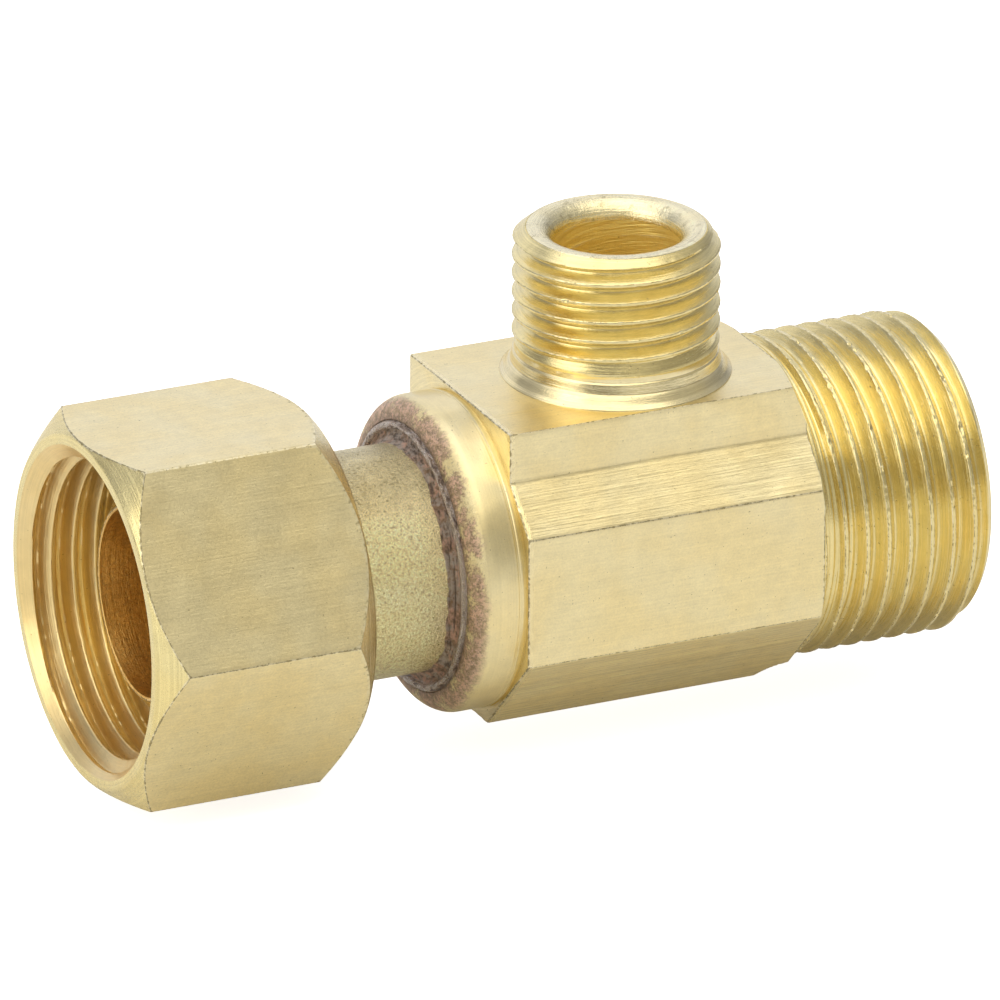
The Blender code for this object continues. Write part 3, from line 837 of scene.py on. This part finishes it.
def branch_solid():
    """The branch without its hole: foot, waist, thread, chamfer and flat top."""
    angle = around(BRANCH_COLUMNS)
    root = BRANCH_CREST - THREAD_DEPTH * BRANCH_PITCH
    foot = outline(
        angle,
        [
            (BAR_HALF - 1.2, 0.0, 0, 0),
            (BAR_HALF - 1.2, 5.0, 0, 0),
            (BAR_HALF - 0.08, BRANCH_FOOT, 0, 0),
            (BAR_HALF + 0.05, BRANCH_FOOT - 0.02, 0.03, 0),
            (BAR_HALF + 0.22, BRANCH_FOOT - 0.24, 0.1, 1),
            (BAR_HALF + 0.6, BRANCH_WAIST + 0.3, 0.06, 0),
            (BAR_HALF + 0.68, BRANCH_WAIST + 0.2, 0.05, 2),
            (BAR_HALF + 1.2, BRANCH_WAIST + 0.09, 0.03, 0),
            (BAR_HALF + 1.28, BRANCH_WAIST + 0.01, 0.03, 0),
            (BRANCH_RUNOUT_BOTTOM - 0.2, BRANCH_WAIST, 0, 0),
        ],
    )
    start = BRANCH_RUNOUT_BOTTOM - 0.2
    stations = helix_rows(angle, start, BRANCH_TOP - LIP_STEP, BRANCH_CREST_AT, BRANCH_PITCH)
    u = thread_turn(stations, angle[None, :], BRANCH_CREST_AT, BRANCH_PITCH)
    nicks = noise(21, angle[None, :], stations, 200, 0.27)
    dents = np.maximum(noise(24, angle[None, :], stations, 90, 0.5) - 0.6, 0)
    radius = thread_shape(u, BRANCH_CREST - 0.015, BRANCH_PITCH, 0.06, 0.25)
    radius = smooth_min(radius, BRANCH_CREST - 0.02 - 0.018 * nicks - 0.2 * dents, 0.02)
    climb = (BRANCH_WAIST - root) / (BRANCH_RUNOUT_TOP - BRANCH_RUNOUT_BOTTOM)
    runout = BRANCH_WAIST - climb * (stations - BRANCH_RUNOUT_BOTTOM)
    runout = np.minimum(runout, BRANCH_WAIST)
    radius = smooth_max(radius, runout, 0.05)
    fade = BRANCH_WAIST + (stations - start) * 0.4
    radius = smooth_min(radius, fade, 0.04)
    slope = (BRANCH_CREST - BRANCH_FACE) / BRANCH_CHAMFER
    burr = 0.03 * noise(22, angle[None, :], 0.0, 96, 1.0) + 0.02 * noise(23, angle[None, :], 0.0, 170, 1.0)
    chamfer = BRANCH_FACE + (BRANCH_TOP - LIP_STEP - stations) * (slope + burr)
    radius = smooth_min(radius, chamfer, 0.03)
    radius = np.where(stations <= start, BRANCH_WAIST, radius)
    rows = np.stack([stations, radius], 1)
    top = outline(
        angle,
        [
            (BRANCH_TOP - LIP_STEP, rows[-1][1], 0, 0),
            (BRANCH_TOP - LIP_STEP - 0.04, rows[-1][1] - 0.04, 0, 0),
            (BRANCH_TOP - 0.02, rows[-1][1] - 0.07, 0, 0),
            (BRANCH_TOP, rows[-1][1] - 0.18, 0.04, 0),
            (BRANCH_TOP, 4.0, 0, 0),
            (BRANCH_TOP, 0.0, 0, 0),
        ],
    )
    sheets = [(foot, "branch_turned"), (rows, "branch_thread"), (top, "branch_lip")]
    return solid("branch", angle, sheets, about_branch, TEE_SLOTS)


def passage_solid():
    """The hole to cut down the branch: rounded lip, tube hole with its stop and the narrow passage."""
    angle = around(PASSAGE_COLUMNS)
    height = BRANCH_TOP - LIP_DEPTH
    wide = BRANCH_TUBE + LIP_WIDTH
    rows = [(BRANCH_TOP + 0.6, 0.0), (BRANCH_TOP + 0.6, wide + 0.25), (BRANCH_TOP + 0.04, wide + 0.15)]
    for step in range(LIP_STEPS + 1):
        tilt = math.pi / 2 * step / LIP_STEPS
        rows.append((height + LIP_DEPTH * math.cos(tilt), wide - LIP_WIDTH * math.sin(tilt)))
    lip = np.array([ring(angle, *row) for row in rows])
    down = outline(
        angle,
        [
            (height, BRANCH_TUBE, 0, 6),
            (BRANCH_TUBE_STOP, BRANCH_TUBE, 0.05, 1),
            (BRANCH_TUBE_STOP, BRANCH_PASSAGE, 0.1, 2),
            (0.0, BRANCH_PASSAGE, 0, 0),
            (0.0, 0.0, 0, 0),
        ],
    )
    return solid("passage", angle, [(lip, "branch_lip"), (down, "branch_bore")], about_branch, TEE_SLOTS)


def tee_body():
    """The run with the branch joined on and the passage cut down it."""
    body = run_solid()
    branch = branch_solid()
    passage = passage_solid()
    boolean(body, branch, "UNION")
    boolean(body, passage, "DIFFERENCE")
    settle(body, [branch, passage])
    return body


# ---------------------------------------------------------------- tailpiece and braze



def tailpiece():
    """Tube with a nose and a flange for the nut to pull on, brazed into the collar."""
    angle = around(RUN_COLUMNS)
    inner = outline(
        angle,
        [
            (SOCKET_END - 0.1, BORE + 0.02, 0, 2),
            (NOSE_FACE, BORE + 0.02, 0.06, 1),
            (NOSE_FACE, NOSE_LIP, 0, 0),
        ],
    )
    outer = outline(
        angle,
        [
            (NOSE_FACE, NOSE_LIP, 0, 0),
            (NOSE_FACE + 0.05, NOSE_LIP + 0.06, 0, 6),
            (FLANGE_FRONT, FLANGE, 0.15, 1),
            (FLANGE_BACK, FLANGE, 0.1, 1),
            (FLANGE_SHOULDER, NECK, 0, 0),
        ],
    )
    neck = outline(
        angle,
        [
            (FLANGE_SHOULDER, NECK, 0, 20),
            (SOCKET_END - 0.1, NECK, 0, 0),
            (SOCKET_END - 0.1, BORE + 0.02, 0, 0),
        ],
    )
    sheets = [(inner, "bore"), (outer, "turned"), (neck, "neck")]
    return solid("tailpiece_visual", angle, sheets, about_run, TAIL_SLOTS)


def braze_ring():
    """The filler: a raised bead by the recess wall, a valley and a fillet that creeps up the neck."""
    angle = around(RUN_COLUMNS)
    floor = RECESS_FLOOR - 0.1
    wander = noise(31, angle, 0.0, 36, 1.0)
    ripple = noise(32, angle, 0.0, 110, 1.0)
    bead = 0.2 + 0.04 * wander
    creep = -12.45 - 0.14 * noise(33, angle, 0.0, 30, 1.0) - 0.07 * noise(34, angle, 0.0, 90, 1.0)
    outer = RECESS_RADIUS - 0.02
    inner = NECK + 0.02
    rows = [(floor, inner), (floor, outer), (COLLAR_FACE + 0.02, outer)]
    for step in range(9):
        tilt = math.radians(-10 + 200 * step / 8)
        rows.append((COLLAR_FACE - 0.02 - bead * math.sin(tilt), outer - 0.24 + bead * math.cos(tilt)))
    rows.append((COLLAR_FACE + 0.06 + 0.03 * ripple, outer - 0.52))
    rows.append((COLLAR_FACE + 0.0 + 0.03 * wander, outer - 0.68))
    rows.append((COLLAR_FACE - 0.12, inner + 0.26))
    rows.append((COLLAR_FACE - 0.25, inner + 0.12))
    rows.append((creep, inner + 0.015))
    rows.append((creep - 0.02, inner - 0.03))
    rows.append((floor, inner))
    sheet = np.array([ring(angle, *row) for row in rows])
    return solid("braze_ring_visual", angle, [(sheet, "braze")], about_run, ["braze"])


# ---------------------------------------------------------------- nut



def nut_section(angle, rounding):
    """The hexagon's radius, and the stations where its front and back chamfers cut it."""
    flats = [(30 + 60 * i + NUT_TURN, NUT_HALF) for i in range(6)]
    rim = polygon(angle, flats, rounding)
    front_slope = (NUT_CORNER - NUT_FRONT_RADIUS) / NUT_FRONT_CHAMFER
    back_slope = (NUT_CORNER - NUT_BACK_RADIUS) / NUT_BACK_CHAMFER
    front = NUT_FRONT + (rim - NUT_FRONT_RADIUS) / front_slope
    back = NUT_BACK - (rim - NUT_BACK_RADIUS) / back_slope
    return rim, front, back


def nut():
    """Chamfered hexagon, inside thread with a wide mouth, thread relief and a hole for the neck."""
    angle = around(RUN_COLUMNS)
    rim, front, back = nut_section(angle, NUT_EDGE)
    wall = NUT_BACK - NUT_BACK_WALL
    face = outline(
        angle,
        [
            (NUT_FRONT, NUT_MOUTH, 0, 1),
            (NUT_FRONT, NUT_FRONT_RADIUS, 0.1, 4),
            (front, rim, 0, 0),
        ],
    )
    sides = outline(angle, [(front, rim, 0, 1), (front + 0.3, rim, 0, 8), (back, rim, 0, 0)])
    back_face = outline(
        angle,
        [
            (back, rim, 0, 4),
            (NUT_BACK, NUT_BACK_RADIUS, 0.12, 3),
            (NUT_BACK, NUT_HOLE, 0.1, 2),
            (wall, NUT_HOLE, 0.1, 1),
            (wall, NUT_RELIEF, 0.05, 1),
            (NUT_RELIEF_START, NUT_RELIEF, 0, 0),
        ],
    )
    stations = helix_rows(angle, NUT_FRONT, NUT_RELIEF_START, NUT_CREST_AT, RUN_PITCH)
    u = thread_turn(stations, angle[None, :], NUT_CREST_AT, RUN_PITCH)
    nicks = noise(42, angle[None, :], stations, 200, 0.3)
    depth = 2 * NUT_MINOR - thread_shape(u, NUT_MINOR + 0.01 * nicks, RUN_PITCH, 0.07, 0.2)
    depth = np.minimum(depth, NUT_MINOR + 0.74)
    mouth = NUT_MOUTH - (stations - NUT_FRONT) * 1.0
    radius = smooth_max(depth, mouth, 0.06)
    relief = NUT_RELIEF + (NUT_RELIEF_START - stations) * 1.0
    radius = smooth_min(radius, relief, 0.05)
    radius = np.where(stations >= NUT_RELIEF_START, NUT_RELIEF, radius)
    radius = np.where(stations <= NUT_FRONT, NUT_MOUTH, radius)
    thread = np.stack([stations, radius], 1)[::-1]
    sheets = [(face, "nut_cut"), (sides, "nut_flat"), (back_face, "turned"), (thread, "nut_thread")]
    return solid("swivel_nut_visual", angle, sheets, about_run, NUT_SLOTS)


# ---------------------------------------------------------------- build


def ridge(distance, width):
    """1 on an edge, fading out over width."""
    return np.exp(-((distance / width) ** 2))


def bar_edge_wear_and_light(points):
    """How close a point is to the bar's edges."""
    x, y, z = points.T
    corner = BAR_HALF * math.tan(math.pi / 8)
    section = [(corner, -BAR_HALF), (BAR_HALF, -corner), (BAR_HALF, corner), (LAND_HALF, BAR_HALF)]
    nearest = np.full(len(x), 9.0)
    for across, up in section:
        nearest = np.minimum(nearest, np.hypot(np.abs(y) - across, z - up))
    long_edges = ridge(nearest, 0.12) * (x > BODY_START) * (x < BODY_END)
    inset = bar_radius(np.arctan2(z, y), SHARP) - np.hypot(y, z)
    start_rim = ridge(np.hypot(x - BODY_START, inset), 0.16)
    end_rim = ridge(np.hypot(x - BODY_END, inset), 0.12)
    return np.maximum(long_edges, np.maximum(start_rim, end_rim))


def crest_edge(station, angle, crest_at, pitch, width):
    """1 on the two edges of a thread's crest, fading out over width."""
    turn = thread_turn(station, angle, crest_at, pitch)
    off_crest = np.abs((turn + 0.5) % 1 - 0.5)
    return ridge((off_crest - CREST_FLAT / 2) * pitch, width)


def thread_edge_wear_and_light(points):
    """How close a point is to the crest edges of the outlet's or the branch's thread."""
    x, y, z = points.T
    on_run = (x > BODY_END) & (np.hypot(y, z) > RUN_CREST - 0.2)
    run = crest_edge(x, np.arctan2(z, y), RUN_CREST_AT, RUN_PITCH, 0.05) * on_run
    on_branch = (z > BRANCH_RUNOUT_BOTTOM) & (np.hypot(x, y) > BRANCH_CREST - 0.15)
    branch = crest_edge(z, np.arctan2(y, x), BRANCH_CREST_AT, BRANCH_PITCH, 0.04) * on_branch
    return 0.9 * np.maximum(run, branch)


def tee_edge_wear_and_light(points):
    return np.maximum(bar_edge_wear_and_light(points), thread_edge_wear_and_light(points))


def nut_edge_wear_and_light(points):
    """How close a point is to the hexagon's edges and the curved edges of its chamfers."""
    x, y, z = points.T
    angle = np.arctan2(z, y)
    radius = np.hypot(y, z)
    _, front, back = nut_section(angle, SHARP)
    to_flat = np.abs((angle - math.radians(NUT_TURN)) % (TURN / 6) - TURN / 12)
    to_corner = (TURN / 12 - to_flat) * NUT_CORNER
    between = (x > front - 0.05) & (x < back + 0.05)
    value = np.maximum(ridge(to_corner, 0.12) * between, ridge(x - front, 0.1))
    value = np.maximum(value, 0.8 * ridge(x - back, 0.12))
    return value * (radius > NUT_FRONT_RADIUS - 0.1)


def nose_edge_wear_and_light(points):
    """How close a point is to the rim of the tailpiece's nose."""
    x, y, z = points.T
    return ridge(np.hypot(x - NOSE_FACE, np.hypot(y, z) - NOSE_LIP), 0.15)


def add_edge_wear_and_light(obj, edge_wear_and_painted_light):
    """Stores how close each point is to an edge, for the materials to paint wear, painted highlights and
    painted shadow there.
    """
    mesh = obj.data
    points = np.zeros(len(mesh.vertices) * 3, np.float32)
    mesh.vertices.foreach_get("co", points)
    points = points.reshape(-1, 3) / MM - np.array([0, 0, AXIS_HEIGHT])
    attribute = mesh.attributes.new("edge_wear_and_painted_light", "FLOAT", "POINT")
    attribute.data.foreach_set("value", edge_wear_and_painted_light(points).astype(np.float32))


def install(obj, body, node):
    """Puts the object on its body in place of the CAD node, which it hides."""
    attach(obj, body)
    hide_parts(node)


tee = tee_body()
add_edge_wear_and_light(tee, tee_edge_wear_and_light)
install(tee, "fitting", "tee_body")

tail = tailpiece()
settle(tail)
add_edge_wear_and_light(tail, nose_edge_wear_and_light)
install(tail, "fitting", "tailpiece")

filler = braze_ring()
settle(filler)
install(filler, "fitting", "braze_ring")

swivel = nut()
settle(swivel)
add_edge_wear_and_light(swivel, nut_edge_wear_and_light)
install(swivel, "nut", "swivel_nut")


# ---------------------------------------------------------------- camera, floor and light

CAMERA_AZIMUTH = math.radians(-24.936)
CAMERA_ELEVATION = math.radians(22.327)
CAMERA_ROLL = math.radians(0.2245)
CAMERA_DISTANCE = 1 / 0.0013
PICTURE_SCALE = 18.7946
PICTURE_RIGHT = -6.0863
PICTURE_UP = 1.0880
SENSOR = 36.0

FLOOR_HEIGHT = -0.0023
FLOOR_HALF = 2.0
FLOOR_WHITE = 0.87
FLOOR_ROUGHNESS = 0.9

# Light on the sky: azimuth from +X, elevation, angle where it is full, angle where it ends, brightness
SOFTBOXES = [
    (0, 90, 40, 95, 0.3),
    (-144, 78, 30, 47, 1.1),
    (-170, 23, 14, 27, 1.6),
    (80, 10, 28, 48, 0.55),
    (-90, -5, 15, 35, 0.36),
]
ROOM_LIGHT = 0.23
WARM = (1.0, 0.965, 0.865)
COOL = (0.98, 1.0, 1.1)
BACKDROP = 1.0
FLOOR_GLOW = 0.8


def camera_axes():
    """The camera's right, up and backward directions."""
    back = Vector(
        (
            math.sin(CAMERA_AZIMUTH) * math.cos(CAMERA_ELEVATION),
            -math.cos(CAMERA_AZIMUTH) * math.cos(CAMERA_ELEVATION),
            math.sin(CAMERA_ELEVATION),
        )
    )
    right = Vector((math.cos(CAMERA_AZIMUTH), math.sin(CAMERA_AZIMUTH), 0))
    up = back.cross(right)
    turn = Matrix.Rotation(CAMERA_ROLL, 3, back)
    return turn @ right, turn @ up, back


def add_camera():
    right, up, back = camera_axes()
    place = PICTURE_RIGHT * right + PICTURE_UP * up + CAMERA_DISTANCE * back + Vector((0, 0, AXIS_HEIGHT))
    data = bpy.data.cameras.new("camera")
    data.sensor_width = SENSOR
    data.lens = SENSOR * PICTURE_SCALE * CAMERA_DISTANCE / 1000
    data.clip_start = 0.01
    camera = bpy.data.objects.new("camera", data)
    matrix = Matrix((right, up, back)).transposed().to_4x4()
    matrix.translation = place * MM
    camera.matrix_world = matrix
    bpy.context.scene.collection.objects.link(camera)
    bpy.context.scene.camera = camera


def add_floor():
    """A white floor. Its glow is for the camera only, so it lights the brass by reflection alone."""
    mesh = bpy.data.meshes.new("floor")
    corners = [(-1, -1), (1, -1), (1, 1), (-1, 1)]
    points = [(FLOOR_HALF * x, FLOOR_HALF * y, FLOOR_HEIGHT) for x, y in corners]
    mesh.from_pydata(points, [], [(0, 1, 2, 3)])
    material = bpy.data.materials.new("floor")
    material.use_nodes = True
    nodes = material.node_tree.nodes
    shader = nodes["Principled BSDF"]
    shader.inputs["Base Color"].default_value = (FLOOR_WHITE, FLOOR_WHITE, FLOOR_WHITE, 1)
    shader.inputs["Roughness"].default_value = FLOOR_ROUGHNESS
    shader.inputs["Specular IOR Level"].default_value = 0.0
    shader.inputs["Emission Color"].default_value = (1, 1, 1, 1)
    links = material.node_tree.links
    glow = nodes.new("ShaderNodeMath")
    glow.operation = "MULTIPLY"
    links.new(nodes.new("ShaderNodeLightPath").outputs["Is Camera Ray"], glow.inputs[0])
    glow.inputs[1].default_value = FLOOR_GLOW
    links.new(glow.outputs[0], shader.inputs["Emission Strength"])
    mesh.materials.append(material)
    floor = bpy.data.objects.new("floor", mesh)
    bpy.context.scene.collection.objects.link(floor)




def add_world():
    """Softboxes in a dim room. The camera itself sees a white backdrop."""
    world = bpy.data.worlds.new("studio")
    bpy.context.scene.world = world
    world.use_nodes = True
    nodes = world.node_tree.nodes
    links = world.node_tree.links
    direction = nodes.new("ShaderNodeTexCoord").outputs["Generated"]

    def add(a, b):
        total = nodes.new("ShaderNodeMath")
        links.new(a, total.inputs[0])
        if isinstance(b, float):
            total.inputs[1].default_value = b
        else:
            links.new(b, total.inputs[1])
        return total.outputs[0]

    light = None
    for azimuth, elevation, full, end, strength in SOFTBOXES:
        level = math.cos(math.radians(elevation))
        turn = math.radians(azimuth)
        toward = (level * math.cos(turn), level * math.sin(turn), math.sin(math.radians(elevation)))
        dot = nodes.new("ShaderNodeVectorMath")
        dot.operation = "DOT_PRODUCT"
        links.new(direction, dot.inputs[0])
        dot.inputs[1].default_value = toward
        fade = nodes.new("ShaderNodeMapRange")
        fade.interpolation_type = "SMOOTHSTEP"
        links.new(dot.outputs["Value"], fade.inputs["Value"])
        fade.inputs["From Min"].default_value = math.cos(math.radians(end))
        fade.inputs["From Max"].default_value = math.cos(math.radians(full))
        fade.inputs["To Max"].default_value = strength
        light = fade.outputs[0] if light is None else add(light, fade.outputs[0])
    seen = nodes.new("ShaderNodeLightPath").outputs["Is Camera Ray"]
    choice = nodes.new("ShaderNodeMix")
    links.new(seen, choice.inputs[0])
    links.new(add(light, ROOM_LIGHT), choice.inputs[2])
    choice.inputs[3].default_value = BACKDROP
    links.new(choice.outputs[0], nodes["Background"].inputs["Strength"])
    across = nodes.new("ShaderNodeSeparateXYZ")
    links.new(direction, across.inputs[0])
    fade = nodes.new("ShaderNodeMapRange")
    links.new(across.outputs[1], fade.inputs["Value"])
    fade.inputs["From Min"].default_value = -0.3
    fade.inputs["From Max"].default_value = 0.5
    tint = nodes.new("ShaderNodeMix")
    tint.data_type = "RGBA"
    links.new(fade.outputs[0], tint.inputs[0])
    tint.inputs[6].default_value = (*WARM, 1)
    tint.inputs[7].default_value = (*COOL, 1)
    links.new(tint.outputs[2], nodes["Background"].inputs["Color"])


add_camera()
add_floor()
add_world()
bpy.context.scene.view_settings.view_transform = "Standard"
